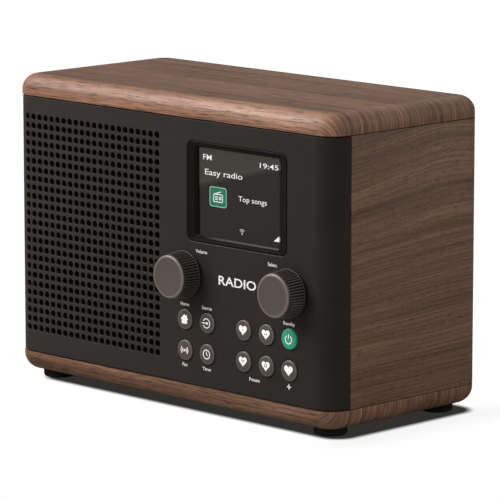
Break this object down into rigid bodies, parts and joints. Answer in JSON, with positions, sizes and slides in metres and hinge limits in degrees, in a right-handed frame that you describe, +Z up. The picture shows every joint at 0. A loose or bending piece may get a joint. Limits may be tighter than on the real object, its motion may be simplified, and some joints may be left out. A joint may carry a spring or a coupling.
{
  "type": "tabletop radio",
  "caption": "Compact tabletop digital radio: rounded wooden cabinet, wrap-round perforated dark fascia, small colour display, turn-and-push knobs, push buttons and a telescopic aerial behind.",
  "frame": {"origin": "middle of the bounding box of the whole radio at table level, on the underside of the feet", "axes": "+X to the right as the listener sees it, the front with display and knobs faces -Y, +Z up"},
  "size_m": [0.218, 0.1238, 0.1511],
  "materials": {
    "walnut": "satin walnut veneer over board",
    "charcoal_plastic": "satin moulded, warm charcoal",
    "rear_plastic": "fine texture, black",
    "bezel_gloss": "gloss black",
    "display_glass": "polished, tinted",
    "knob_plastic": "satin, brown grey",
    "button_plastic": "satin, brown grey",
    "standby_green": "satin green",
    "foot_rubber": "matt black",
    "circuit_board": "solder-mask green",
    "zinc_steel": "zinc plated",
    "aerial_chrome": "polished plate",
    "magnet_ferrite": "dark ferrite and steel",
    "speaker_paper": "black treated paper",
    "socket_plastic": "black moulded",
    "cable_grey": "PVC insulation"
  },
  "bodies": {
    "case": {"antenna_base": "socket_plastic", "antenna_clip": "rear_plastic", "bottom_panel": "walnut", "control_board": "circuit_board", "cover_screw_left_1": "zinc_steel", "cover_screw_left_2": "zinc_steel", "cover_screw_left_3": "zinc_steel", "cover_screw_right_1": "zinc_steel", "cover_screw_right_2": "zinc_steel", "cover_screw_right_3": "zinc_steel", "dc_socket": "socket_plastic", "display_bezel": "bezel_gloss", "display_module": "zinc_steel", "display_window": "display_glass", "foot_front_left": "foot_rubber", "foot_front_right": "foot_rubber", "foot_rear_left": "foot_rubber", "foot_rear_right": "foot_rubber", "front_fascia": "charcoal_plastic", "headphone_socket": "socket_plastic", "main_board": "circuit_board", "rear_cover": "rear_plastic", "ribbon_cable": "cable_grey", "select_encoder": "zinc_steel", "side_panel_left": "walnut", "side_panel_right": "walnut", "speaker_frame": "zinc_steel", "speaker_lead": "cable_grey", "speaker_magnet": "magnet_ferrite", "speaker_screw_1": "zinc_steel", "speaker_screw_2": "zinc_steel", "speaker_screw_3": "zinc_steel", "speaker_screw_4": "zinc_steel", "speaker_surround": "foot_rubber", "top_panel": "walnut", "volume_encoder": "zinc_steel"},
    "volume_rotor": {"volume_rotor": "socket_plastic"},
    "volume_knob": {"volume_knob": "knob_plastic", "volume_shaft": "zinc_steel"},
    "select_rotor": {"select_rotor": "socket_plastic"},
    "select_knob": {"select_knob": "knob_plastic", "select_shaft": "zinc_steel"},
    "button_home": {"button_home": "button_plastic"},
    "button_source": {"button_source": "button_plastic"},
    "button_pair": {"button_pair": "button_plastic"},
    "button_timer": {"button_timer": "button_plastic"},
    "button_preset_1": {"button_preset_1": "button_plastic"},
    "button_preset_2": {"button_preset_2": "button_plastic"},
    "button_preset_3": {"button_preset_3": "button_plastic"},
    "button_preset_4": {"button_preset_4": "button_plastic"},
    "button_standby": {"button_standby": "standby_green"},
    "button_favourite": {"button_favourite": "button_plastic"},
    "speaker_cone": {"speaker_cone": "speaker_paper"},
    "antenna_head": {"antenna_swivel": "aerial_chrome", "antenna_pin": "zinc_steel"},
    "antenna_arm": {"antenna_joint": "aerial_chrome", "antenna_section_1": "aerial_chrome"},
    "antenna_section_2": {"antenna_section_2": "aerial_chrome"},
    "antenna_section_3": {"antenna_section_3": "aerial_chrome"},
    "antenna_section_4": {"antenna_section_4": "aerial_chrome"}
  },
  "joints": [
    {"name": "volume_turn", "type": "hinge", "parent": "case", "child": "volume_rotor", "pos_m": [0.0127, -0.0507, 0.0666], "axis": [0, 1, 0], "continuous": true},
    {"name": "volume_press", "type": "slide", "parent": "volume_rotor", "child": "volume_knob", "axis": [0, 1, 0], "range_m": [0, 0.0005], "stiffness_N_per_m": 4000},
    {"name": "select_turn", "type": "hinge", "parent": "case", "child": "select_rotor", "pos_m": [0.0818, -0.0507, 0.0666], "axis": [0, 1, 0], "continuous": true},
    {"name": "select_press", "type": "slide", "parent": "select_rotor", "child": "select_knob", "axis": [0, 1, 0], "range_m": [0, 0.0005], "stiffness_N_per_m": 4000},
    {"name": "home_press", "type": "slide", "parent": "case", "child": "button_home", "axis": [0, 1, 0], "range_m": [0, 0.0005], "stiffness_N_per_m": 1500},
    {"name": "source_press", "type": "slide", "parent": "case", "child": "button_source", "axis": [0, 1, 0], "range_m": [0, 0.0005], "stiffness_N_per_m": 1500},
    {"name": "pair_press", "type": "slide", "parent": "case", "child": "button_pair", "axis": [0, 1, 0], "range_m": [0, 0.0005], "stiffness_N_per_m": 1500},
    {"name": "timer_press", "type": "slide", "parent": "case", "child": "button_timer", "axis": [0, 1, 0], "range_m": [0, 0.0005], "stiffness_N_per_m": 1500},
    {"name": "preset_1_press", "type": "slide", "parent": "case", "child": "button_preset_1", "axis": [0, 1, 0], "range_m": [0, 0.0005], "stiffness_N_per_m": 1500},
    {"name": "preset_2_press", "type": "slide", "parent": "case", "child": "button_preset_2", "axis": [0, 1, 0], "range_m": [0, 0.0005], "stiffness_N_per_m": 1500},
    {"name": "preset_3_press", "type": "slide", "parent": "case", "child": "button_preset_3", "axis": [0, 1, 0], "range_m": [0, 0.0005], "stiffness_N_per_m": 1500},
    {"name": "preset_4_press", "type": "slide", "parent": "case", "child": "button_preset_4", "axis": [0, 1, 0], "range_m": [0, 0.0005], "stiffness_N_per_m": 1500},
    {"name": "standby_press", "type": "slide", "parent": "case", "child": "button_standby", "axis": [0, 1, 0], "range_m": [0, 0.0005], "stiffness_N_per_m": 1500},
    {"name": "favourite_press", "type": "slide", "parent": "case", "child": "button_favourite", "axis": [0, 1, 0], "range_m": [0, 0.0005], "stiffness_N_per_m": 1500},
    {"name": "cone_travel", "type": "slide", "parent": "case", "child": "speaker_cone", "axis": [0, 1, 0], "range_m": [-0.001, 0.001], "stiffness_N_per_m": 1500},
    {"name": "antenna_turn", "type": "hinge", "parent": "case", "child": "antenna_head", "pos_m": [0.08, 0.0529, 0.133], "axis": [0, 1, 0], "range_deg": [0, 180]},
    {"name": "antenna_tilt", "type": "hinge", "parent": "antenna_head", "child": "antenna_arm", "pos_m": [0.08, 0.0574, 0.133], "axis": [0, 0, -1], "range_deg": [0, 90]},
    {"name": "antenna_slide_2", "type": "slide", "parent": "antenna_arm", "child": "antenna_section_2", "axis": [-1, 0, 0], "range_m": [0, 0.115]},
    {"name": "antenna_slide_3", "type": "slide", "parent": "antenna_section_2", "child": "antenna_section_3", "axis": [-1, 0, 0], "range_m": [0, 0.115]},
    {"name": "antenna_slide_4", "type": "slide", "parent": "antenna_section_3", "child": "antenna_section_4", "axis": [-1, 0, 0], "range_m": [0, 0.115]}
  ]
}
